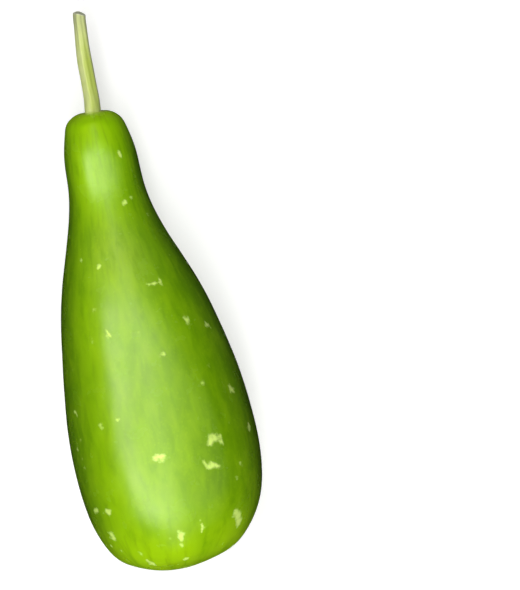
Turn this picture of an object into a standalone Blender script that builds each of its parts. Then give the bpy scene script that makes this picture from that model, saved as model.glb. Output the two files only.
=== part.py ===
"""Bottle gourd (Lagenaria siceraria) of market size, picked with its stem, lying on its belly.

Units are metres in the scene and millimetres in the constants below. +Z is up, +Y runs from
the blossom end to the stem, and +X is to the right for someone looking down with the stem
pointing away. The origin is the middle of the small flat spot that the gourd rests on.
"""

import math

import bmesh
import bpy
import numpy as np
from mathutils import Matrix, Vector

MM = 0.001

# Driving dimensions, in millimetres.
FRUIT_LENGTH = 283.0
BELLY_RADIUS = 57.3
SECTION_HEIGHT_SHARE = 0.985
BELLY_MIDDLE = Vector((3.0, 0.0, 57.4))
BLOSSOM_END_Y = -107.0
SCAR_RADIUS = 4.2
SCAR_DEPTH = 0.7
STEM_RADIUS = 4.9
STEM_SHIFT = Vector((0.6, 0.0, 3.5))
STEM_GAP = 0.3
SOCKET_DEPTH = 5.2
CUT_CHAMFER = 0.5

# The fruit's sections: how far along it is (0 at the blossom end, 1 at the crown), its radius as
# a share of the belly's, and how far its middle lies to the side of and above the belly's middle.
FRUIT_SECTIONS = [
    (0.004, 0.266, -3.9, 7.2),
    (0.018, 0.468, -3.0, 7.0),
    (0.046, 0.688, -1.9, 6.3),
    (0.106, 0.874, -0.3, 4.9),
    (0.177, 0.967, 0.0, 2.9),
    (0.265, 1.000, -1.1, 0.0),
    (0.371, 0.967, -2.7, -3.5),
    (0.477, 0.887, -4.9, -7.0),
    (0.583, 0.776, -7.8, -10.1),
    (0.671, 0.630, -10.4, -12.4),
    (0.749, 0.495, -12.6, -15.6),
    (0.827, 0.413, -13.9, -19.6),
    (0.898, 0.394, -14.7, -22.0),
    (0.951, 0.344, -15.3, -24.0),
    (0.979, 0.291, -15.8, -25.4),
    (0.995, 0.197, -15.9, -26.2),
]

# The stem's sections: distance out from the crown, then sideways and upward from the middle of
# the root, and radius as a share of the root's. The first two lie in the socket.
STEM_SECTIONS = [
    (-4.6, 0.0, -0.8, 0.95),
    (-2.4, 0.0, -0.4, 0.98),
    (0.8, 0.1, 0.2, 1.00),
    (7.0, 0.5, 1.0, 0.96),
    (17.0, 0.4, 2.6, 0.92),
    (28.0, 0.2, 4.5, 0.92),
    (38.0, 0.2, 6.2, 0.86),
    (48.0, 0.7, 7.5, 0.80),
    (55.4, 1.0, 8.2, 0.77),
    (59.8, 1.3, 8.5, 0.77),
]
ROOT_SECTIONS = 2
STEM_RIDGES = 5
RIDGE_SHARE = 0.09

FRUIT_SIDES = 12
FRUIT_LEVELS = 2
STEM_SIDES = 2 * STEM_RIDGES
STEM_LEVELS = 1
SOCKET_SIDES = 40
REST_BLOCK = Vector((0.2, 0.3, 0.02))

SKIN_GREEN = (0.205, 0.434, 0.012)
STEM_GREEN = (0.565, 0.640, 0.262)


def clear_scene():
    for thing in list(bpy.data.objects):
        bpy.data.objects.remove(thing, do_unlink=True)


def plant_material(name, colour, roughness):
    """A waxy or matt plant surface."""
    material = bpy.data.materials.new(name)
    material.use_nodes = True
    shader = material.node_tree.nodes["Principled BSDF"]
    shader.inputs["Base Color"].default_value = (*colour, 1.0)
    shader.inputs["Roughness"].default_value = roughness
    shader.inputs["Metallic"].default_value = 0.0
    return material


def cage_values(wanted):
    """The cage values whose subdivided curve passes through the wanted ones."""
    count = len(wanted)
    pull = np.zeros((count, count))
    for row in range(count):
        pull[row, row] += 4 / 6
        pull[row, max(row - 1, 0)] += 1 / 6
        pull[row, min(row + 1, count - 1)] += 1 / 6
    return np.linalg.solve(pull, np.array(wanted)).tolist()


def cage_share(sides):
    """How far subdivision draws a ring of this many sides towards its middle."""
    return (4 + 2 * math.cos(2 * math.pi / sides)) / 6


def lobes(angle, along):
    """A gourd's section is nearly round: soft lobes that turn a little along the fruit."""
    wide = 0.006 * math.cos(2 * (angle - 0.5 - 1.4 * along))
    uneven = 0.004 * math.cos(3 * (angle + 0.3 + 0.8 * along))
    return 1 + wide + uneven


def upright_ring(middle, radius, along=None):
    """A ring of the fruit's cage, square to +Y: plain, or with the gourd's section."""
    ring = []
    for number in range(FRUIT_SIDES):
        angle = 2 * math.pi * number / FRUIT_SIDES
        reach = radius if along is None else radius * lobes(angle, along)
        height = reach * SECTION_HEIGHT_SHARE
        ring.append(middle + Vector((reach * math.cos(angle), 0, height * math.sin(angle))))
    return ring


def fruit_end(section, end_y):
    """The middle of the blossom end or of the crown."""
    _, _, side, lift = section
    return BELLY_MIDDLE + Vector((side, end_y, lift))


def fruit_rings():
    """The fruit's cage, from the floor of the blossom scar to the crown."""
    scar = fruit_end(FRUIT_SECTIONS[0], BLOSSOM_END_Y)
    rings = [
        upright_ring(scar + Vector((0, SCAR_DEPTH, 0)), 0.75 * SCAR_RADIUS),
        upright_ring(scar, 1.35 * SCAR_RADIUS),
    ]
    columns = (cage_values(column) for column in zip(*FRUIT_SECTIONS))
    for along, share, side, lift in zip(*columns):
        middle = BELLY_MIDDLE + Vector((side, BLOSSOM_END_Y + FRUIT_LENGTH * along, lift))
        rings.append(upright_ring(middle, BELLY_RADIUS * share / cage_share(FRUIT_SIDES), along))
    rings.append(upright_ring(crown_middle(), 0.55 * STEM_RADIUS))
    return rings


def crown_middle():
    return fruit_end(FRUIT_SECTIONS[-1], BLOSSOM_END_Y + FRUIT_LENGTH)


def stem_root():
    """The stem stands a little above the middle of the drooping crown."""
    return crown_middle() + STEM_SHIFT


def tilted_ring(middle, along, radius, sides, ridge=0.0):
    """A ring square to the stem's run, raised in soft ridges."""
    right = along.cross(Vector((0, 0, 1))).normalized()
    up = right.cross(along).normalized()
    ring = []
    for number in range(sides):
        angle = 2 * math.pi * number / sides
        reach = radius * (1 + ridge * math.cos(STEM_RIDGES * angle))
        ring.append(middle + reach * (math.cos(angle) * right + math.sin(angle) * up))
    return ring


def stem_rings():
    """The stem's cage, from its root in the socket to its cut end."""
    columns = (cage_values(column) for column in zip(*STEM_SECTIONS))
    sections = list(zip(*columns))
    middles = [stem_root() + Vector((side, out, lift)) for out, side, lift, _ in sections]
    radii = [STEM_RADIUS * share / cage_share(STEM_SIDES) for *_, share in sections]
    rings = []
    for number, (middle, radius) in enumerate(zip(middles, radii)):
        before = middles[max(number - 1, 0)]
        after = middles[min(number + 1, len(middles) - 1)]
        ridge = 0.0 if number < ROOT_SECTIONS else RIDGE_SHARE
        rings.append(tilted_ring(middle, after - before, radius, STEM_SIDES, ridge))
    run = (middles[-1] - middles[-2]).normalized()
    cut = middles[-1] + CUT_CHAMFER * run
    rings.append(tilted_ring(cut, run, radii[-1] - CUT_CHAMFER, STEM_SIDES))
    return rings


def tube_mesh(name, rings):
    """A closed mesh through rings of points, which are in millimetres."""
    maker = bmesh.new()
    loops = [[maker.verts.new(point * MM) for point in ring] for ring in rings]
    sides = len(rings[0])
    for here, there in zip(loops, loops[1:]):
        for number in range(sides):
            following = (number + 1) % sides
            maker.faces.new((here[number], here[following], there[following], there[number]))
    maker.faces.new(loops[0])
    maker.faces.new(loops[-1])
    bmesh.ops.recalc_face_normals(maker, faces=maker.faces)
    mesh = bpy.data.meshes.new(name)
    maker.to_mesh(mesh)
    maker.free()
    mesh.shade_smooth()
    return mesh


def add_object(name, mesh, material=None):
    thing = bpy.data.objects.new(name, mesh)
    if material:
        mesh.materials.append(material)
    bpy.context.scene.collection.objects.link(thing)
    return thing


def add_subdivision(thing, levels):
    modifier = thing.modifiers.new("Rounding", "SUBSURF")
    modifier.levels = levels
    modifier.render_levels = levels


def add_cut(thing, cutter):
    cutter.hide_render = True
    cutter.display_type = "WIRE"
    modifier = thing.modifiers.new("Cut by " + cutter.name, "BOOLEAN")
    modifier.operation = "DIFFERENCE"
    modifier.solver = "EXACT"
    modifier.object = cutter


def make_rest_cutter():
    """A block whose top is the plane that the gourd rests on."""
    maker = bmesh.new()
    place = Matrix.Translation((0, 0, -REST_BLOCK.z / 2))
    bmesh.ops.create_cube(maker, size=1.0, matrix=place @ Matrix.Diagonal((*REST_BLOCK, 1.0)))
    mesh = bpy.data.meshes.new("rest_cutter")
    maker.to_mesh(mesh)
    maker.free()
    return add_object("rest_cutter", mesh)


def make_socket_cutter():
    """The space that the stem's root stands in, with the gap all round it."""
    out, side, lift, _ = STEM_SECTIONS[0]
    along = -Vector((side, out, lift)).normalized()
    rings = []
    for distance in (-SOCKET_DEPTH, SOCKET_DEPTH):
        middle = stem_root() + distance * along
        rings.append(tilted_ring(middle, along, STEM_RADIUS + STEM_GAP, SOCKET_SIDES))
    return add_object("socket_cutter", tube_mesh("socket_cutter", rings))


def make_fruit():
    skin = plant_material("gourd_skin", SKIN_GREEN, roughness=0.38)
    fruit = add_object("fruit", tube_mesh("fruit", fruit_rings()), skin)
    add_subdivision(fruit, FRUIT_LEVELS)
    add_cut(fruit, make_rest_cutter())
    add_cut(fruit, make_socket_cutter())


def make_stem():
    bark = plant_material("gourd_stem", STEM_GREEN, roughness=0.6)
    stem = add_object("stem", tube_mesh("stem", stem_rings()), bark)
    add_subdivision(stem, STEM_LEVELS)


clear_scene()
make_fruit()
make_stem()
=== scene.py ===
"""A fresh bottle gourd, picked with its stem, lying on a pale surface and seen from above.

Everything in the scene is in metres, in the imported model's frame: +Z up, +Y from the blossom
end to the stem. The constants below are in millimetres and degrees unless they say otherwise.
"""
import math

import bpy
import numpy as np
from mathutils import Matrix, Vector, noise


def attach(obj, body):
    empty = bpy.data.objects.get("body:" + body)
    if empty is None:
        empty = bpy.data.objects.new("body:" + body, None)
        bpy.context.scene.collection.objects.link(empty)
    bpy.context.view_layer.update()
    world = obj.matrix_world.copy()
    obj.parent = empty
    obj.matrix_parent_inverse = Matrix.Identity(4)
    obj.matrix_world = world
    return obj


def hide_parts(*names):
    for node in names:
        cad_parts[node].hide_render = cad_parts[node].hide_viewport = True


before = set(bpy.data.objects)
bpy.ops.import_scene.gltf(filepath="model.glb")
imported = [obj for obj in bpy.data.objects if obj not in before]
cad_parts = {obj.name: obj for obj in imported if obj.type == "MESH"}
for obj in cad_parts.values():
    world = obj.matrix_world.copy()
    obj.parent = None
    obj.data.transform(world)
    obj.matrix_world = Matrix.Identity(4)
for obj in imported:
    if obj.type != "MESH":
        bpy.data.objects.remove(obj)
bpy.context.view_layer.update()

MM = 0.001
SEED = 11

# The gourd's own sizes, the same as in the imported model.
FRUIT_LENGTH = 283.0
BELLY_RADIUS = 57.3
SECTION_HEIGHT_SHARE = 0.985
BELLY_MIDDLE = Vector((3.0, 0.0, 57.4))
BLOSSOM_END_Y = -107.0
SCAR_RADIUS = 4.2
SCAR_DEPTH = 0.7
STEM_RADIUS = 4.9
STEM_SHIFT = Vector((0.6, 0.0, 3.5))

# How far along the fruit each section is, its radius as a share of the belly's, and how far its
# middle lies to the side of and above the belly's middle.
FRUIT_SECTIONS = [
    (0.004, 0.266, -3.9, 7.2),
    (0.018, 0.468, -3.0, 7.0),
    (0.046, 0.688, -1.9, 6.3),
    (0.106, 0.874, -0.3, 4.9),
    (0.177, 0.967, 0.0, 2.9),
    (0.265, 1.000, -1.1, 0.0),
    (0.371, 0.967, -2.7, -3.5),
    (0.477, 0.887, -4.9, -7.0),
    (0.583, 0.776, -7.8, -10.1),
    (0.671, 0.630, -10.4, -12.4),
    (0.749, 0.495, -12.6, -15.6),
    (0.827, 0.413, -13.9, -19.6),
    (0.898, 0.394, -14.7, -22.0),
    (0.951, 0.344, -15.3, -24.0),
    (0.979, 0.291, -15.8, -25.4),
    (0.995, 0.197, -15.9, -26.2),
]

# Distance out from the crown, then sideways and upward from the middle of the stem's root, and
# radius as a share of the root's. The first two are inside the crown.
STEM_SECTIONS = [
    (-4.6, 0.0, -0.8, 0.95),
    (-2.4, 0.0, -0.4, 1.00),
    (0.8, 0.1, 0.2, 1.03),
    (7.0, 0.5, 1.0, 0.96),
    (17.0, 0.4, 2.6, 0.92),
    (28.0, 0.2, 4.5, 0.92),
    (38.0, 0.2, 6.2, 0.86),
    (48.0, 0.7, 7.5, 0.80),
    (55.4, 1.0, 8.2, 0.77),
    (59.3, 1.3, 8.5, 0.77),
]

# The main pale flecks on the upper side, in round figures: millimetres from the blossom end,
# degrees round from the top towards +X, and how long and how wide each one is.
MAIN_FLECKS = [
    (80, 35, 8, 8),
    (65, 30, 6, 8),
    (75, 0, 5, 8),
    (30, 50, 9, 8),
    (25, 5, 9, 4),
    (30, 20, 6, 3),
    (45, -60, 4, 7),
    (45, -45, 3, 9),
    (30, -50, 5, 7),
    (10, -25, 4, 6),
    (10, 10, 3, 4),
    (80, 70, 5, 6),
    (105, -60, 4, 4),
    (105, 60, 5, 6),
    (145, 60, 4, 5),
    (150, 40, 6, 4),
    (150, -20, 6, 3),
    (175, 25, 2, 9),
    (190, -20, 4, 4),
    (225, 25, 3, 5),
    (255, 35, 4, 4),
]
SMALL_FLECKS = 22
HIDDEN_FLECKS = 46

# Painted light: a yellower, lighter band down the upper left side, where the light falls: its
# strength, and its middle and its width as angles round from the top.
PAINTED_LIGHT_SHARE = 0.40
PAINTED_LIGHT_MIDDLE = -45
PAINTED_LIGHT_WIDTH = 15
# Painted shade: how far the skin goes over to its deep green where the round sides turn away from
# the light: on the left side, on the right side of the belly and by how much more beyond it, and on
# the neck's right rim; and how far in a dull, darker patch on the belly's right.
LEFT_FLANK_SHARE = 0.52
RIGHT_FLANK_SHARE = 0.28
RIGHT_FLANK_MORE = 0.14
NECK_RIM_SHARE = 0.45
DULL_PATCH_SHARE = 0.36
# Painted highlight: how far the skin goes over to a pale milky tone on top of the shoulder.
PAINTED_HIGHLIGHT_SHARE = 0.42

# How high the skin's soft lumps and its smaller ripples are and how far apart, and how near the
# fruit's middle line they fade out at both ends.
LUMP_HEIGHT = 0.30
LUMP_SIZE = 26.0
RIPPLE_HEIGHT = 0.10
RIPPLE_SIZE = 9.0
LUMP_FADE = 14.0
# The skin dips in a ring where the stem grows out of it.
PUCKER_DEPTH = 0.8
PUCKER_WIDTH = 3.2

# The stem's main ridges and the finer ones between them: how many, how high as a share of its
# radius, how far they turn in radians for each millimetre, and where they reach their full height.
RIDGES = 5
RIDGE_SHARE = 0.045
FINE_RIDGES = 11
FINE_RIDGE_SHARE = 0.015
RIDGE_TWIST = 0.006
RIDGE_FADE = 9.0
# The stem's pale bands turn by this many radians for each millimetre, and the palest one starts
# this far round from the top, on the left, where the upper left side is painted paler as painted
# light.
PALE_TWIST = 0.003
PALE_TURN = 40
STEM_LUMP_HEIGHT = 0.12
STEM_LUMP_SIZE = 3.0
# The cut end, ring by ring: each step outward, and the ring's radius as a share of the stem's.
CUT_RINGS = ((0.35, 0.97), (0.45, 0.88), (0.35, 0.66), (0.1, 0.50), (0.1, 0.20))
# The cut leans back to the right and upwards and is domed, and the stem is bent to it from here on.
STEM_LENGTH = 60.0
CUT_START = 52.0
CUT_BACK = 0.5
CUT_SLANT_RIGHT = 0.34
CUT_SLANT_UP = 0.26
CUT_DOME = 0.07

FRUIT_SIDES = 16
FRUIT_LEVELS = 4
STEM_SIDES = 20
STEM_LEVELS = 3

# Inputs and output of a colour Mix node.
FACTOR, FIRST, SECOND, MIXED = 0, 6, 7, 2


def colour(code):
    """An sRGB hex code as linear red, green, blue and alpha."""
    parts = [int(code[start:start + 2], 16) / 255 for start in (1, 3, 5)]
    return tuple(p / 12.92 if p <= 0.04045 else ((p + 0.055) / 1.055) ** 2.4 for p in parts) + (1.0,)


def add_node(tree, kind, inputs=None, **settings):
    """A node with its settings; each input takes a value or another node's output."""
    made = tree.nodes.new(kind)
    for name, value in settings.items():
        setattr(made, name, value)
    for name, value in (inputs or {}).items():
        if isinstance(value, bpy.types.NodeSocket):
            tree.links.new(value, made.inputs[name])
        else:
            made.inputs[name].default_value = value
    return made


def new_material(name):
    """An empty material, with its output node."""
    material = bpy.data.materials.new(name)
    material.use_nodes = True
    material.node_tree.nodes.clear()
    return material, add_node(material.node_tree, "ShaderNodeOutputMaterial")


# ---------------------------------------------------------------------------- shapes

def cage_values(wanted):
    """The cage values whose subdivided curve passes through the wanted ones."""
    count = len(wanted)
    pull = np.zeros((count, count))
    for row in range(count):
        pull[row, row] += 4 / 6
        pull[row, max(row - 1, 0)] += 1 / 6
        pull[row, min(row + 1, count - 1)] += 1 / 6
    return np.linalg.solve(pull, np.array(wanted)).tolist()


def cage_share(sides):
    """How far subdivision draws a ring of this many sides towards its middle."""
    return (4 + 2 * math.cos(2 * math.pi / sides)) / 6


def start_disc(name, middle, radius, sides, height_share):
    """A flat disc square to +Y, the first section of a grown shape, left in edit mode."""
    bpy.ops.object.select_all(action="DESELECT")
    bpy.ops.mesh.primitive_circle_add(
        vertices=sides, radius=radius * MM, fill_type="NGON",
        location=middle * MM, rotation=(math.pi / 2, 0, 0))
    piece = bpy.context.object
    piece.name = name
    bpy.ops.object.transform_apply(location=True, rotation=True, scale=True)
    bpy.ops.object.mode_set(mode="EDIT")
    bpy.ops.mesh.select_mode(type="FACE")
    bpy.ops.mesh.select_all(action="SELECT")
    bpy.ops.transform.resize(value=(1, 1, height_share), center_override=middle * MM)
    return piece


def grow_through(name, sections, sides, levels, height_share=1.0):
    """A closed tube through sections of (middle, radius), extruded one by one and rounded."""
    middle, radius = sections[0]
    piece = start_disc(name, middle, radius, sides, height_share)
    for next_middle, next_radius in sections[1:]:
        step = (next_middle - middle) * MM
        share = next_radius / radius
        bpy.ops.mesh.extrude_region_move(TRANSFORM_OT_translate={"value": step})
        bpy.ops.transform.resize(value=(share, 1, share), center_override=next_middle * MM)
        middle, radius = next_middle, next_radius
    bpy.ops.mesh.select_all(action="SELECT")
    bpy.ops.mesh.normals_make_consistent(inside=False)
    bpy.ops.object.mode_set(mode="OBJECT")
    rounding = piece.modifiers.new("Rounding", "SUBSURF")
    rounding.levels = levels
    rounding.render_levels = levels
    bpy.ops.object.modifier_apply(modifier=rounding.name)
    bpy.ops.object.shade_smooth()
    return piece


def crown_middle():
    _, _, side, lift = FRUIT_SECTIONS[-1]
    return BELLY_MIDDLE + Vector((side, BLOSSOM_END_Y + FRUIT_LENGTH, lift))


def stem_root():
    """The stem stands a little above the middle of the drooping crown."""
    return crown_middle() + STEM_SHIFT


def scar_middle():
    _, _, side, lift = FRUIT_SECTIONS[0]
    return BELLY_MIDDLE + Vector((side, BLOSSOM_END_Y, lift))


def fruit_cage():
    """The fruit's cage: the scar's floor and rim, the sections, and the crown's top."""
    sections = [
        (scar_middle() + Vector((0, SCAR_DEPTH, 0)), 0.75 * SCAR_RADIUS),
        (scar_middle(), 1.35 * SCAR_RADIUS),
    ]
    columns = (cage_values(column) for column in zip(*FRUIT_SECTIONS))
    for along, share, side, lift in zip(*columns):
        middle = BELLY_MIDDLE + Vector((side, BLOSSOM_END_Y + FRUIT_LENGTH * along, lift))
        sections.append((middle, BELLY_RADIUS * share / cage_share(FRUIT_SIDES)))
    sections.append((crown_middle(), 0.55 * STEM_RADIUS))
    return sections


def points_of(piece):
    """The piece's points in millimetres, one row each."""
    points = np.empty(len(piece.data.vertices) * 3)
    piece.data.vertices.foreach_get("co", points)
    return points.reshape(-1, 3) / MM


def normals_of(piece):
    normals = np.empty(len(piece.data.vertices) * 3)
    piece.data.vertices.foreach_get("normal", normals)
    return normals.reshape(-1, 3)


def set_points(piece, points):
    piece.data.vertices.foreach_set("co", (points * MM).ravel())
    piece.data.update()


def fruit_run(points):
    """For each point: how far along the fruit (0 to 1), the angle round it from the top towards
    +X, and the point's two offsets from the fruit's bent middle line."""
    along = (points[:, 1] - BLOSSOM_END_Y) / FRUIT_LENGTH
    share, _, side, lift = np.array(FRUIT_SECTIONS).T
    across = points[:, 0] - BELLY_MIDDLE.x - np.interp(along, share, side)
    above = points[:, 2] - BELLY_MIDDLE.z - np.interp(along, share, lift)
    return along, np.arctan2(across, above), across, above


def lobes(angle, along):
    """A gourd's section is nearly round: soft lobes that turn a little along the fruit."""
    from_side = math.pi / 2 - angle
    wide = 0.006 * np.cos(2 * (from_side - 0.5 - 1.4 * along))
    uneven = 0.004 * np.cos(3 * (from_side + 0.3 + 0.8 * along))
    return 1 + wide + uneven


def ramp(values, start, end):
    """Goes evenly from 0 at the start to 1 at the end, and stays level beyond them."""
    return np.clip((values - start) / (end - start), 0, 1)


def hump(values, middle, width):
    """A soft hump: 1 in its middle, and about a third this far to either side."""
    return np.exp(-((values - middle) / width) ** 2)


def smooth_noise(points, size, stretch=1.0):
    """Soft lumps of a size in millimetres, drawn out along the gourd."""
    scaled = points / np.array([size, size * stretch, size])
    return np.array([noise.noise(Vector(point)) for point in scaled])


def add_value(piece, name, values):
    """Keeps one number or vector for each point as the piece's own attribute."""
    kind, field = ("FLOAT", "value") if values.ndim == 1 else ("FLOAT_VECTOR", "vector")
    attribute = piece.data.attributes.new(name, kind, "POINT")
    attribute.data.foreach_set(field, values.astype(np.float32).ravel())


def upper_flecks():
    """The main flecks, each one a few spots grown together, and small ones strewn between them."""
    draw = np.random.default_rng(SEED)
    flecks = []
    for length, angle, tall, wide in MAIN_FLECKS:
        flecks.append((length, angle, 0.6 * tall, 0.55 * wide, 40 * (draw.random() - 0.5), 0.95))
        for _ in range((tall + wide) // 2):
            along, across = 1.25 * (draw.random(2) - 0.5)
            tall_share, wide_share = 0.22 + 0.24 * draw.random(2)
            flecks.append((length + tall * along, angle + wide * across, tall * tall_share,
                           wide * wide_share, 180 * draw.random(), 0.6 + 0.3 * draw.random()))
    for _ in range(SMALL_FLECKS):
        length = 15 + 240 * draw.random() ** 1.3
        angle = 150 * (draw.random() - 0.5)
        size = 1.9 + 1.4 * draw.random()
        flecks.append((length, angle, size, size, 0.0, 0.5 + 0.35 * draw.random()))
    return flecks


def hidden_flecks():
    """Flecks on the flanks and the underside, closer together towards the blossom end: each one
    a few spots grown together."""
    draw = np.random.default_rng(SEED)
    flecks = []
    for _ in range(HIDDEN_FLECKS):
        length = 12 + 250 * draw.random() ** 1.8
        angle = 85 + 190 * draw.random()
        size = 2.2 + 4.5 * draw.random() ** 2.5
        strength = 0.6 + 0.4 * draw.random()
        for spot in range(1 + int(size / 1.6)):
            share = 1.0 if spot == 0 else 0.4 + 0.3 * draw.random()
            drift = 0.0 if spot == 0 else 0.7 * size
            along, across = drift * (draw.random(2) - 0.5) * 1.6
            width = size * share * (0.6 + 0.5 * draw.random())
            flecks.append((length + along, angle + across, size * share, width,
                           180 * draw.random(), strength * (1 if spot == 0 else 0.9)))
    return flecks


def fleck_strength(along, angle, radius):
    """How deep in a fleck each point lies: 1 in the middle of a spot and 0.5 at its rim."""
    strength = np.zeros(len(along))
    for length, turn, tall, wide, lean, force in upper_flecks() + hidden_flecks():
        off = (angle - math.radians(turn) + math.pi) % (2 * math.pi) - math.pi
        up = along * FRUIT_LENGTH - length
        aside = off * radius
        tilt = math.radians(lean)
        long_way = (up * math.cos(tilt) + aside * math.sin(tilt)) / (tall / 2)
        wide_way = (aside * math.cos(tilt) - up * math.sin(tilt)) / (wide / 2)
        spot = force * 0.5 ** (long_way ** 2 + wide_way ** 2)
        strength = 1 - (1 - strength) * (1 - spot)
    return strength


def painted_lit_band(angle):
    """Painted light: how much yellower and lighter the rind is painted, most along the upper left
    side.
    """
    return PAINTED_LIGHT_SHARE * hump(angle, math.radians(PAINTED_LIGHT_MIDDLE), math.radians(PAINTED_LIGHT_WIDTH))


def flank_painted_shade(along, angle):
    """Painted shade on the round sides, where they turn away from the light: deepest on both flanks
    and on the neck's right rim, less so at both ends. Besides it, the green is a little deeper in a
    patch on the right of the belly."""
    right = np.sin(angle)
    right_share = RIGHT_FLANK_SHARE + RIGHT_FLANK_MORE * ramp(along, 0.3, 0.5)
    flanks = np.where(
        right < 0, LEFT_FLANK_SHARE * ramp(-right, 0.60, 1), right_share * ramp(right, 0.76, 1))
    neck = NECK_RIM_SHARE * ramp(along, 0.5, 0.7) * ramp(right, 0.66, 1)
    away_from_ends = ramp(along, 0.02, 0.14) * ramp(along, 0.97, 0.89)
    shade = away_from_ends * (flanks + neck * (1 - flanks))
    dull = DULL_PATCH_SHARE * hump(angle, math.radians(33), 0.30) * hump(along, 0.19, 0.085)
    return shade + dull * (1 - shade)


def shoulder_painted_highlight(along, angle):
    """A painted highlight: the rind is painted paler and milkier on top of the shoulder."""
    return PAINTED_HIGHLIGHT_SHARE * hump(angle, 0.02, 0.46) * hump(along, 0.685, 0.075)


def make_fruit():
    """The gourd: extruded section by section, then given its soft lumps and its flat spot."""
    fruit = grow_through("gourd_fruit", fruit_cage(), FRUIT_SIDES, FRUIT_LEVELS, SECTION_HEIGHT_SHARE)
    points = points_of(fruit)
    along, angle, across, above = fruit_run(points)
    swell = lobes(angle, along) - 1
    points[:, 0] += across * swell
    points[:, 2] += above * swell
    lumps = LUMP_HEIGHT * smooth_noise(points, LUMP_SIZE, 1.7)
    lumps += RIPPLE_HEIGHT * smooth_noise(points + 40, RIPPLE_SIZE, 2.0)
    fade = ramp(np.hypot(across, above), 0, LUMP_FADE)
    points += normals_of(fruit) * (lumps * fade)[:, None]
    from_stem = np.hypot(points[:, 0] - stem_root().x, points[:, 2] - stem_root().z)
    pucker = hump(from_stem, STEM_RADIUS, PUCKER_WIDTH) * (along > 0.9)
    points[:, 1] -= PUCKER_DEPTH * pucker
    points[:, 2] = np.maximum(points[:, 2], 0)
    set_points(fruit, points)
    ring = np.stack([np.sin(angle), np.zeros(len(angle)), np.cos(angle)], axis=1)
    run = ring * BELLY_RADIUS + np.stack([0 * along, along * FRUIT_LENGTH, 0 * along], axis=1)
    add_value(fruit, "run", run * MM)
    add_value(fruit, "along", along)
    add_value(fruit, "painted_shade", flank_painted_shade(along, angle))
    add_value(fruit, "painted_light", painted_lit_band(angle))
    add_value(fruit, "painted_highlight", shoulder_painted_highlight(along, angle))
    add_value(fruit, "fleck", fleck_strength(along, angle, np.hypot(across, above)))
    return fruit


def stem_cage():
    """The stem's cage: its sections, closed by the rings of the cut end."""
    columns = (cage_values(column) for column in zip(*STEM_SECTIONS))
    sections = []
    for out, side, lift, share in zip(*columns):
        middle = stem_root() + Vector((side, out, lift))
        sections.append((middle, STEM_RADIUS * share / cage_share(STEM_SIDES)))
    last, radius = sections[-1]
    for step, share in CUT_RINGS:
        sections.append((last + Vector((0, step, 0)), radius * share))
    return sections


def stem_run(points):
    """For each point of the stem: millimetres out from the crown, the angle round it, and its
    two offsets from the stem's middle line."""
    root = stem_root()
    out = points[:, 1] - root.y
    where, side, lift, _ = np.array(STEM_SECTIONS).T
    across = points[:, 0] - root.x - np.interp(out, where, side)
    above = points[:, 2] - root.z - np.interp(out, where, lift)
    return out, np.arctan2(across, above), across, above


def make_stem():
    """The cut stem: five soft ridges that fade into the flared root, and a dry cut end, which is
    slanted and slightly domed."""
    stem = grow_through("gourd_stem", stem_cage(), STEM_SIDES, STEM_LEVELS)
    points = points_of(stem)
    out, angle, across, above = stem_run(points)
    twist = angle + RIDGE_TWIST * out
    ridge = RIDGE_SHARE * np.cos(RIDGES * twist) + FINE_RIDGE_SHARE * np.cos(FINE_RIDGES * twist + 1)
    swell = ridge * ramp(out, 0, RIDGE_FADE)
    points[:, 0] += across * swell
    points[:, 2] += above * swell
    lumps = STEM_LUMP_HEIGHT * smooth_noise(points, STEM_LUMP_SIZE, 4.0)
    points += normals_of(stem) * lumps[:, None]
    tip = ramp(out, CUT_START, STEM_LENGTH) ** 2
    slant = CUT_BACK + CUT_SLANT_RIGHT * across + CUT_SLANT_UP * above
    points[:, 1] -= tip * (slant + CUT_DOME * across ** 2)
    set_points(stem, points)
    add_value(stem, "out", out)
    ring = np.stack([np.sin(twist), 0 * out, np.cos(twist)], axis=1) * STEM_RADIUS
    ring[:, 1] = out
    add_value(stem, "run", ring * MM)
    # The plain cosine paints the upper left paler than the right: painted light over the pale bands.
    pale_way = angle + PALE_TWIST * out + math.radians(PALE_TURN)
    add_value(stem, "paleness", 0.47 + 0.26 * np.cos(3 * pale_way) + 0.27 * np.cos(pale_way))
    return stem


# ------------------------------------------------------------------------- materials

# The skin's tone from the blossom end (0) to the crown (1); the brighter stops at both ends are
# partly painted light.
SKIN_TONES = (
    (0.0, "#B4E00E"), (0.06, "#A0CE08"), (0.14, "#88B905"), (0.30, "#7CAF04"),
    (0.72, "#7CB204"), (0.90, "#88C004"), (0.97, "#98D204"), (1.0, "#B8E812"))


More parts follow.
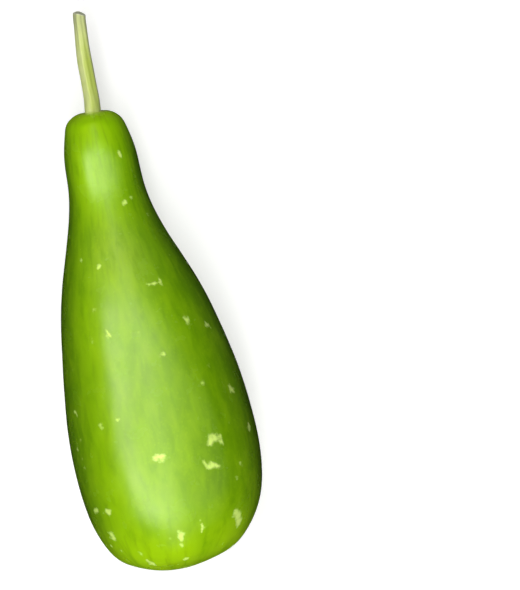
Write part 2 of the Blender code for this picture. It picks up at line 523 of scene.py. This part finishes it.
def skin_material():
    """Fresh gourd skin: a thin waxy green rind over pale flesh, satin, with pale corky flecks."""
    material, output = new_material("waxy_gourd_skin")
    tree = material.node_tree
    place = add_node(tree, "ShaderNodeTexCoord").outputs["Object"]
    run = add_node(tree, "ShaderNodeAttribute", attribute_name="run").outputs["Vector"]
    along, fleck, painted_shade, painted_light, painted_highlight = (
        add_node(tree, "ShaderNodeAttribute", attribute_name=name).outputs["Fac"]
        for name in ("along", "fleck", "painted_shade", "painted_light", "painted_highlight"))

    # A fresh green, yellower and brighter towards both ends: partly the rind's own tone and partly
    # painted light.
    tone = add_node(tree, "ShaderNodeValToRGB", {"Fac": along})
    while len(tone.color_ramp.elements) < len(SKIN_TONES):
        tone.color_ramp.elements.new(0.5)
    for stop, (where, code) in zip(tone.color_ramp.elements, SKIN_TONES):
        stop.position = where
        stop.color = colour(code)

    # Soft patches about 30 mm across, then painted light in a yellower band down the upper left side,
    # a painted highlight on top of the shoulder and painted shade on the round sides.
    patches = add_node(tree, "ShaderNodeTexNoise", {"Vector": place, "Scale": 1000 / 30, "Detail": 4})
    patch = add_node(tree, "ShaderNodeMapRange", {
        "Value": patches.outputs["Fac"], "From Min": 0.42, "From Max": 0.68, "To Max": 0.40})
    patched = add_node(tree, "ShaderNodeMix", {
        FACTOR: patch.outputs["Result"], FIRST: tone.outputs["Color"], SECOND: colour("#649A02")},
        data_type="RGBA")
    light_painted = add_node(tree, "ShaderNodeMix", {
        FACTOR: painted_light, FIRST: patched.outputs[MIXED], SECOND: colour("#A4D80A")}, data_type="RGBA")
    highlight_painted = add_node(tree, "ShaderNodeMix", {
        FACTOR: painted_highlight, FIRST: light_painted.outputs[MIXED], SECOND: colour("#A6CC58")}, data_type="RGBA")
    shade_painted = add_node(tree, "ShaderNodeMix", {
        FACTOR: painted_shade, FIRST: highlight_painted.outputs[MIXED], SECOND: colour("#487602")}, data_type="RGBA")

    # Pale and dark streaks about 6 mm wide, drawn out along the fruit and broken up.
    stretched = add_node(tree, "ShaderNodeMapping", {"Vector": run, "Scale": (1, 0.36, 1)})
    streaks = add_node(tree, "ShaderNodeTexNoise", {
        "Vector": stretched.outputs["Vector"], "Scale": 1000 / 6.5, "Detail": 3.4, "Roughness": 0.58,
        "Distortion": 0.4})
    pale = add_node(tree, "ShaderNodeMapRange", {
        "Value": streaks.outputs["Fac"], "From Min": 0.48, "From Max": 0.74, "To Max": 0.34})
    paler = add_node(tree, "ShaderNodeMix", {
        FACTOR: pale.outputs["Result"], FIRST: shade_painted.outputs[MIXED], SECOND: colour("#A0D014")},
        data_type="RGBA")
    dark = add_node(tree, "ShaderNodeMapRange", {
        "Value": streaks.outputs["Fac"], "From Min": 0.50, "From Max": 0.26, "To Max": 0.44})
    streaked = add_node(tree, "ShaderNodeMix", {
        FACTOR: dark.outputs["Result"], FIRST: paler.outputs[MIXED], SECOND: colour("#568A02")},
        data_type="RGBA")

    # Lenticels: pale dots about a millimetre across, all over the rind.
    dots = add_node(tree, "ShaderNodeTexVoronoi", {"Vector": place, "Scale": 1000 / 2.6})
    dot = add_node(tree, "ShaderNodeMapRange", {
        "Value": dots.outputs["Distance"], "From Min": 0.12, "From Max": 0.34,
        "To Min": 0.14, "To Max": 0.0})
    dotted = add_node(tree, "ShaderNodeMix", {
        FACTOR: dot.outputs["Result"], FIRST: streaked.outputs[MIXED], SECOND: colour("#A6D61C")},
        data_type="RGBA")

    # Corky flecks: each one fades out softly, with a ragged rim from a fine noise.
    ragged = add_node(tree, "ShaderNodeTexNoise", {
        "Vector": place, "Scale": 1000 / 2.2, "Detail": 3.5, "Roughness": 0.6})
    rim = add_node(tree, "ShaderNodeMath", {0: ragged.outputs["Fac"], 1: 1.15, 2: -0.575},
                   operation="MULTIPLY_ADD")
    ragged_fleck = add_node(tree, "ShaderNodeMath", {0: fleck, 1: rim.outputs[0]}, operation="ADD")
    spot = add_node(tree, "ShaderNodeMapRange", {
        "Value": ragged_fleck.outputs[0], "From Min": 0.20, "From Max": 0.92},
        interpolation_type="SMOOTHSTEP")
    flecked = add_node(tree, "ShaderNodeMix", {
        FACTOR: spot.outputs["Result"], FIRST: dotted.outputs[MIXED], SECOND: colour("#DCFA7E")},
        data_type="RGBA")

    # Small specks, one or two millimetres across, thicker towards the blossom end.
    specks = add_node(tree, "ShaderNodeTexVoronoi", {"Vector": place, "Scale": 1000 / 11})
    chance = add_node(tree, "ShaderNodeSeparateColor", {"Color": specks.outputs["Color"]})
    share = add_node(tree, "ShaderNodeMapRange", {
        "Value": along, "From Min": 0.0, "From Max": 0.6, "To Min": 0.60, "To Max": 0.86})
    chosen = add_node(tree, "ShaderNodeMath", {0: chance.outputs["Red"], 1: share.outputs["Result"]},
                      operation="GREATER_THAN")
    near = add_node(tree, "ShaderNodeMapRange", {
        "Value": specks.outputs["Distance"], "From Min": 0.03, "From Max": 0.11,
        "To Min": 0.55, "To Max": 0.0})
    speck = add_node(tree, "ShaderNodeMath", {0: chosen.outputs[0], 1: near.outputs["Result"]},
                     operation="MULTIPLY")
    specked = add_node(tree, "ShaderNodeMix", {
        FACTOR: speck.outputs[0], FIRST: flecked.outputs[MIXED], SECOND: colour("#C8E868")},
        data_type="RGBA")

    # The blossom scar is dry and brown, and the rind is paler close round the stem.
    scar_way = add_node(tree, "ShaderNodeVectorMath", {0: place, 1: scar_middle() * MM},
                        operation="DISTANCE")
    scar = add_node(tree, "ShaderNodeMapRange", {
        "Value": scar_way.outputs["Value"], "From Min": 2.2 * MM, "From Max": 5.0 * MM,
        "To Min": 0.85, "To Max": 0.0}, interpolation_type="SMOOTHSTEP")
    scarred = add_node(tree, "ShaderNodeMix", {
        FACTOR: scar.outputs["Result"], FIRST: specked.outputs[MIXED], SECOND: colour("#8C7A45")},
        data_type="RGBA")
    crown_way = add_node(tree, "ShaderNodeVectorMath", {0: place, 1: stem_root() * MM},
                         operation="DISTANCE")
    collar = add_node(tree, "ShaderNodeMapRange", {
        "Value": crown_way.outputs["Value"], "From Min": 5.4 * MM, "From Max": 12.0 * MM,
        "To Min": 0.75, "To Max": 0.0}, interpolation_type="SMOOTHSTEP")
    skin = add_node(tree, "ShaderNodeMix", {
        FACTOR: collar.outputs["Result"], FIRST: scarred.outputs[MIXED], SECOND: colour("#C4DA5C")},
        data_type="RGBA")

    # Satin wax: a little uneven, and rougher on the corky flecks.
    smear = add_node(tree, "ShaderNodeTexNoise", {"Vector": place, "Scale": 1000 / 12, "Detail": 4})
    gloss = add_node(tree, "ShaderNodeMapRange", {
        "Value": smear.outputs["Fac"], "From Min": 0.3, "From Max": 0.7,
        "To Min": 0.20, "To Max": 0.29})
    rough = add_node(tree, "ShaderNodeMath", {
        0: spot.outputs["Result"], 1: 0.2, 2: gloss.outputs["Result"]}, operation="MULTIPLY_ADD")
    pores = add_node(tree, "ShaderNodeTexNoise", {"Vector": place, "Scale": 1000 / 1.3, "Detail": 2})
    relief = add_node(tree, "ShaderNodeMath", {
        0: spot.outputs["Result"], 1: 0.5, 2: pores.outputs["Fac"]}, operation="MULTIPLY_ADD")
    bump = add_node(tree, "ShaderNodeBump", {
        "Height": relief.outputs[0], "Strength": 0.25, "Distance": 0.12 * MM})

    shader = add_node(tree, "ShaderNodeBsdfPrincipled", {
        "Base Color": skin.outputs[MIXED], "Roughness": rough.outputs[0],
        "Normal": bump.outputs["Normal"], "IOR": 1.46,
        "Subsurface Weight": 0.06, "Subsurface Radius": (0.5, 1.0, 0.15),
        "Subsurface Scale": 2.5 * MM}, subsurface_method="RANDOM_WALK")
    tree.links.new(shader.outputs["BSDF"], output.inputs["Surface"])
    return material


def stem_material():
    """The cut stem: pale, matt and faintly downy, with green bands along it and its upper left
    painted paler as painted light, dry at the cut.
    """
    material, output = new_material("downy_gourd_stem")
    tree = material.node_tree
    place = add_node(tree, "ShaderNodeTexCoord").outputs["Object"]
    run = add_node(tree, "ShaderNodeAttribute", attribute_name="run").outputs["Vector"]
    out = add_node(tree, "ShaderNodeAttribute", attribute_name="out").outputs["Fac"]
    paleness = add_node(tree, "ShaderNodeAttribute", attribute_name="paleness").outputs["Fac"]

    # Three pale bands and three green ones run the length of the stem, uneven at their edges, with
    # the upper left painted paler as painted light, and faint fibres about a millimetre wide.
    banded = add_node(tree, "ShaderNodeMapping", {"Vector": run, "Scale": (1, 0.09, 1)})
    uneven = add_node(tree, "ShaderNodeTexNoise", {
        "Vector": banded.outputs["Vector"], "Scale": 1000 / 3.6, "Detail": 1.5})
    shift = add_node(tree, "ShaderNodeMath", {0: uneven.outputs["Fac"], 1: 1.1, 2: -0.55},
                     operation="MULTIPLY_ADD")
    broken = add_node(tree, "ShaderNodeMath", {0: paleness, 1: shift.outputs[0]}, operation="ADD")
    band = add_node(tree, "ShaderNodeMapRange", {
        "Value": broken.outputs[0], "From Min": 0.06, "From Max": 0.80},
        interpolation_type="SMOOTHSTEP")
    body = add_node(tree, "ShaderNodeMix", {
        FACTOR: band.outputs["Result"], FIRST: colour("#9AAC3C"), SECOND: colour("#C8D28C")},
        data_type="RGBA")
    stretched = add_node(tree, "ShaderNodeMapping", {"Vector": run, "Scale": (1, 0.06, 1)})
    fibres = add_node(tree, "ShaderNodeTexNoise", {
        "Vector": stretched.outputs["Vector"], "Scale": 1000 / 1.4, "Detail": 2})
    fibre = add_node(tree, "ShaderNodeMapRange", {
        "Value": fibres.outputs["Fac"], "From Min": 0.50, "From Max": 0.74, "To Max": 0.16})
    fibred = add_node(tree, "ShaderNodeMix", {
        FACTOR: fibre.outputs["Result"], FIRST: body.outputs[MIXED], SECOND: colour("#DCE4A4")},
        data_type="RGBA")
    blotches = add_node(tree, "ShaderNodeTexNoise", {"Vector": place, "Scale": 1000 / 9, "Detail": 2})
    blotch = add_node(tree, "ShaderNodeMapRange", {
        "Value": blotches.outputs["Fac"], "From Min": 0.5, "From Max": 0.75, "To Max": 0.4})
    blotched = add_node(tree, "ShaderNodeMix", {
        FACTOR: blotch.outputs["Result"], FIRST: fibred.outputs[MIXED], SECOND: colour("#A6BC3C")},
        data_type="RGBA")

    # The outer end has dried to grey-green, and the cut itself to a pale grey.
    dryness = add_node(tree, "ShaderNodeMapRange", {
        "Value": out, "From Min": STEM_LENGTH - 18, "From Max": STEM_LENGTH, "To Max": 0.65},
        interpolation_type="SMOOTHSTEP")
    drying = add_node(tree, "ShaderNodeMix", {
        FACTOR: dryness.outputs["Result"], FIRST: blotched.outputs[MIXED], SECOND: colour("#9EA47C")},
        data_type="RGBA")
    cut = add_node(tree, "ShaderNodeMapRange", {
        "Value": out, "From Min": STEM_LENGTH - 0.6, "From Max": STEM_LENGTH, "To Max": 0.8},
        interpolation_type="SMOOTHSTEP")
    dried = add_node(tree, "ShaderNodeMix", {
        FACTOR: cut.outputs["Result"], FIRST: drying.outputs[MIXED], SECOND: colour("#C8CCB4")},
        data_type="RGBA")
    bump = add_node(tree, "ShaderNodeBump", {
        "Height": fibres.outputs["Fac"], "Strength": 0.35, "Distance": 0.2 * MM})
    shader = add_node(tree, "ShaderNodeBsdfPrincipled", {
        "Base Color": dried.outputs[MIXED], "Roughness": 0.55, "IOR": 1.45,
        "Normal": bump.outputs["Normal"], "Sheen Weight": 0.15, "Sheen Roughness": 0.5})
    tree.links.new(shader.outputs["BSDF"], output.inputs["Surface"])
    return material


# ------------------------------------------------------------- floor, lights, camera

# The floor's sizes, the lights' places and heights and the camera's distance are in metres.
FLOOR_RADIUS = 4.0
FLOOR_SIDES = 96
FLOOR_DROP = 0.0001
# The paper's rim, step by step: how many times as wide as before it, and how much higher.
COVE_STEPS = ((1.2, 0.4), (1.03, 2.2))


def floor_material():
    """Matt white studio paper."""
    material, output = new_material("white_studio_paper")
    paper = add_node(material.node_tree, "ShaderNodeBsdfPrincipled", {
        "Base Color": colour("#C4C4C2"), "Roughness": 0.9, "Specular IOR Level": 0.1,
        "Emission Color": colour("#FFFFFF"), "Emission Strength": 0.62})
    material.node_tree.links.new(paper.outputs["BSDF"], output.inputs["Surface"])
    return material


def make_floor():
    """A wide sheet of paper that curves up at its rim."""
    bpy.ops.object.select_all(action="DESELECT")
    bpy.ops.mesh.primitive_circle_add(
        vertices=FLOOR_SIDES, radius=FLOOR_RADIUS, fill_type="NGON", location=(0, 0, -FLOOR_DROP))
    floor = bpy.context.object
    floor.name = "floor"
    bpy.ops.object.mode_set(mode="EDIT")
    bpy.ops.mesh.select_mode(type="EDGE")
    bpy.ops.mesh.select_all(action="SELECT")
    for spread, rise in COVE_STEPS:
        bpy.ops.mesh.region_to_loop()
        bpy.ops.mesh.extrude_edges_move(TRANSFORM_OT_translate={"value": (0, 0, rise)})
        bpy.ops.transform.resize(value=(spread, spread, 1), center_override=(0, 0, 0))
    bpy.ops.object.mode_set(mode="OBJECT")
    bpy.ops.object.transform_apply(location=True, rotation=True, scale=True)
    bpy.ops.object.shade_smooth()
    floor.data.materials.append(floor_material())
    floor.visible_diffuse = False
    floor.visible_glossy = False


# How bright the backdrop is to the camera, from above, from below, and in the gloss.
WORLD_SEEN = 0.85
WORLD_ABOVE = 0.02
WORLD_BELOW = 0.60
WORLD_GLOSS = 0.005


def make_world():
    """A pale backdrop. From below it stands for the light that the paper throws back, and it
    adds only a little even light from above and a dim reflection."""
    world = bpy.data.worlds.new("studio")
    bpy.context.scene.world = world
    world.use_nodes = True
    tree = world.node_tree
    tree.nodes.clear()
    way = add_node(tree, "ShaderNodeTexCoord").outputs["Generated"]
    height = add_node(tree, "ShaderNodeSeparateXYZ", {"Vector": way}).outputs["Z"]
    fill = add_node(tree, "ShaderNodeMapRange", {
        "Value": height, "From Min": 0.0, "From Max": -1.0,
        "To Min": WORLD_ABOVE, "To Max": WORLD_BELOW}, interpolation_type="SMOOTHSTEP")
    path = add_node(tree, "ShaderNodeLightPath")
    unseen = add_node(tree, "ShaderNodeMapRange", {
        "Value": path.outputs["Is Glossy Ray"],
        "To Min": fill.outputs["Result"], "To Max": WORLD_GLOSS})
    strength = add_node(tree, "ShaderNodeMapRange", {
        "Value": path.outputs["Is Camera Ray"],
        "To Min": unseen.outputs["Result"], "To Max": WORLD_SEEN})
    backdrop = add_node(tree, "ShaderNodeBackground", {
        "Color": colour("#FFFFFF"), "Strength": strength.outputs["Result"]})
    add_node(tree, "ShaderNodeOutputWorld", {"Surface": backdrop.outputs["Background"]})


def add_light_panel(name, low, high, height, radiance):
    """A level rectangular light facing down, over the floor area from low to high, in metres."""
    light = bpy.data.lights.new(name, "AREA")
    light.shape = "RECTANGLE"
    light.size = high[0] - low[0]
    light.size_y = high[1] - low[1]
    light.energy = math.pi * light.size * light.size_y * radiance
    panel = bpy.data.objects.new(name, light)
    panel.location = ((low[0] + high[0]) / 2, (low[1] + high[1]) / 2, height)
    panel.visible_camera = False
    bpy.context.scene.collection.objects.link(panel)
    return panel


KEY_HEIGHT = 1.2
KEY_X = (-0.26, 0.12)
KEY_Y = (-2.4, 2.2)
KEY_RADIANCE = 5.7


def make_key_light():
    """The key, a long soft strip straight above: it gives the rind its round shading only."""
    low, high = zip(KEY_X, KEY_Y)
    key = add_light_panel("key", low, high, KEY_HEIGHT, KEY_RADIANCE)
    key.visible_glossy = False


FRONT_HEIGHT = 0.9
FRONT_X = (-0.45, 0.35)
FRONT_Y = (-2.2, -0.9)
FRONT_RADIANCE = 4.8


def make_front_light():
    """A weaker soft light on the blossom end's side."""
    low, high = zip(FRONT_X, FRONT_Y)
    front = add_light_panel("front", low, high, FRONT_HEIGHT, FRONT_RADIANCE)
    front.visible_glossy = False


SOFTBOX_HEIGHT = 0.70
# How far it stands above the point that its angles start from, and its reach in those angles.
SOFTBOX_CLEAR = 0.60
SOFTBOX_ACROSS = (-80, 75)
SOFTBOX_ALONG = (-75, 72)
# The softbox's milky glow, shaped for the haze that it leaves on the wax: angles, and how bright
# it is there. It is brightest at its bowed left edge, and its right side is set aslant.
MILKY_WHITE = "#FFF5FF"
MILKY_RADIANCE = 8.4
MILKY_ACROSS = (
    (-68, 0.0), (-60, 0.04), (-56, 0.30), (-53, 0.80), (-48, 1.0), (-42, 0.90), (-34, 0.76),
    (-26, 0.63), (-18, 0.54), (0, 0.44), (40, 0.37), (60, 0.30), (75, 0.19))
MILKY_ALONG = (
    (-74, 0.0), (-66, 0.08), (-60, 0.17), (-54, 0.24), (-48, 0.32), (-42, 0.46), (-36, 0.70),
    (-30, 0.95), (-24, 1.0), (-18, 0.92), (-12, 0.78), (-6, 0.70), (0, 0.65), (14, 0.62),
    (22, 0.66), (29, 0.84), (35, 0.90), (38, 0.74), (41, 0.46), (44, 0.18), (47, 0.05),
    (51, 0.02), (60, 0.01), (70, 0.0))
MILKY_ASLANT = (
    (-80, 1.0), (2, 1.0), (14, 0.78), (26, 0.50), (38, 0.36), (50, 0.30), (78, 0.28))
MILKY_BOW = 0.56
MILKY_BOW_MIDDLE = 0.32
MILKY_SLANT = 0.6
# Under it lies a wide dim glow, yellow as light is that has come through leaves.
LEAFY_YELLOW = "#FAFF08"
LEAFY_RADIANCE = 4.4
LEAFY_ACROSS = (
    (-80, 0.30), (-70, 0.42), (-56, 0.58), (-48, 0.66), (-30, 0.70), (0, 0.60), (20, 0.47),
    (40, 0.34), (60, 0.20), (75, 0.10))
LEAFY_ALONG = (
    (-75, 0.2), (-54, 0.5), (-42, 0.42), (-24, 0.42), (-10, 0.65), (6, 0.9), (30, 1.0),
    (66, 1.0), (72, 0.6))


def glow_share(tree, place, stops):
    """The glow's share at a place, which is a distance for each unit of height."""
    reach = [math.tan(math.radians(angle)) for angle, _ in stops]
    level = add_node(tree, "ShaderNodeMapRange", {
        "Value": place, "From Min": reach[0], "From Max": reach[-1]})
    ramp = add_node(tree, "ShaderNodeValToRGB", {"Fac": level.outputs["Result"]})
    while len(ramp.color_ramp.elements) < len(stops):
        ramp.color_ramp.elements.new(0.5)
    for stop, where, (_, share) in zip(ramp.color_ramp.elements, reach, stops):
        stop.position = (where - reach[0]) / (reach[-1] - reach[0])
        stop.color = (share, share, share, 1)
    return ramp.outputs["Color"]


def make_softbox():
    """A very wide softbox that only the gloss shows: the milky haze on the wax."""
    wide = [math.tan(math.radians(angle)) for angle in SOFTBOX_ACROSS]
    long = [math.tan(math.radians(angle)) for angle in SOFTBOX_ALONG]
    low, high = zip(*([SOFTBOX_CLEAR * reach for reach in way] for way in (wide, long)))
    softbox = add_light_panel("softbox", low, high, SOFTBOX_HEIGHT, 1.0)
    softbox.visible_diffuse = False
    softbox.data.use_nodes = True
    tree = softbox.data.node_tree
    tree.nodes.clear()
    place = add_node(tree, "ShaderNodeNewGeometry").outputs["Parametric"]
    parts = add_node(tree, "ShaderNodeSeparateXYZ", {"Vector": place})
    across = add_node(tree, "ShaderNodeMapRange", {
        "Value": parts.outputs["X"], "To Min": wide[0], "To Max": wide[1]}).outputs["Result"]
    along = add_node(tree, "ShaderNodeMapRange", {
        "Value": parts.outputs["Y"], "To Min": long[0], "To Max": long[1]}).outputs["Result"]

    off = add_node(tree, "ShaderNodeMath", {0: along, 1: MILKY_BOW_MIDDLE}, operation="SUBTRACT")
    square = add_node(tree, "ShaderNodeMath", {0: off.outputs[0], 1: off.outputs[0]},
                      operation="MULTIPLY")
    bowed = add_node(tree, "ShaderNodeMath", {0: square.outputs[0], 1: -MILKY_BOW, 2: across},
                     operation="MULTIPLY_ADD")
    aslant = add_node(tree, "ShaderNodeMath", {0: along, 1: -MILKY_SLANT, 2: across},
                      operation="MULTIPLY_ADD")
    milky = add_node(tree, "ShaderNodeVectorMath", {
        0: glow_share(tree, bowed.outputs[0], MILKY_ACROSS),
        1: glow_share(tree, along, MILKY_ALONG)}, operation="MULTIPLY")
    milky = add_node(tree, "ShaderNodeVectorMath", {
        0: milky.outputs[0],
        1: glow_share(tree, aslant.outputs[0], MILKY_ASLANT)}, operation="MULTIPLY")
    milky = add_node(tree, "ShaderNodeVectorMath", {
        0: milky.outputs[0], 1: Vector(colour(MILKY_WHITE)[:3]) * MILKY_RADIANCE},
        operation="MULTIPLY")
    leafy = add_node(tree, "ShaderNodeVectorMath", {
        0: glow_share(tree, across, LEAFY_ACROSS), 1: glow_share(tree, along, LEAFY_ALONG)},
        operation="MULTIPLY")
    glow = add_node(tree, "ShaderNodeVectorMath", {
        0: leafy.outputs[0], 1: Vector(colour(LEAFY_YELLOW)[:3]) * LEAFY_RADIANCE,
        2: milky.outputs[0]}, operation="MULTIPLY_ADD")
    light = add_node(tree, "ShaderNodeEmission", {"Color": glow.outputs[0]})
    add_node(tree, "ShaderNodeOutputLight", {"Surface": light.outputs["Emission"]})


CAMERA_DISTANCE = 1.5
CAMERA_ROLL = 8.43
CAMERA_TILT = 4.0
# The view's height and middle and the sensor are in millimetres again.
VIEW_HEIGHT = 359.9
VIEW_MIDDLE = Vector((73.0, 49.7, 55.0))
SENSOR = 36.0


def make_camera():
    """Looks down, tilted and turned a little, with the gourd at the left of the view."""
    data = bpy.data.cameras.new("camera")
    data.sensor_width = SENSOR
    data.lens = SENSOR * CAMERA_DISTANCE / (VIEW_HEIGHT * MM)
    camera = bpy.data.objects.new("camera", data)
    roll, tilt = math.radians(CAMERA_ROLL), math.radians(CAMERA_TILT)
    right = Vector((math.cos(roll), -math.sin(roll), 0))
    level_up = Vector((math.sin(roll), math.cos(roll), 0))
    back = math.cos(tilt) * Vector((0, 0, 1)) + math.sin(tilt) * level_up
    turned = Matrix((right, back.cross(right), back)).transposed()
    place = VIEW_MIDDLE * MM + back * CAMERA_DISTANCE
    camera.matrix_world = Matrix.Translation(place) @ turned.to_4x4()
    bpy.context.scene.collection.objects.link(camera)
    bpy.context.scene.camera = camera


# ------------------------------------------------------------------------- the scene

bpy.context.scene.view_settings.view_transform = "Standard"
make_camera()
make_world()
make_key_light()
make_front_light()
make_softbox()
make_floor()

fruit = make_fruit()
fruit.data.materials.append(skin_material())
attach(fruit, "root")
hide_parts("fruit")

stem = make_stem()
stem.data.materials.append(stem_material())
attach(stem, "root")
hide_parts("stem")
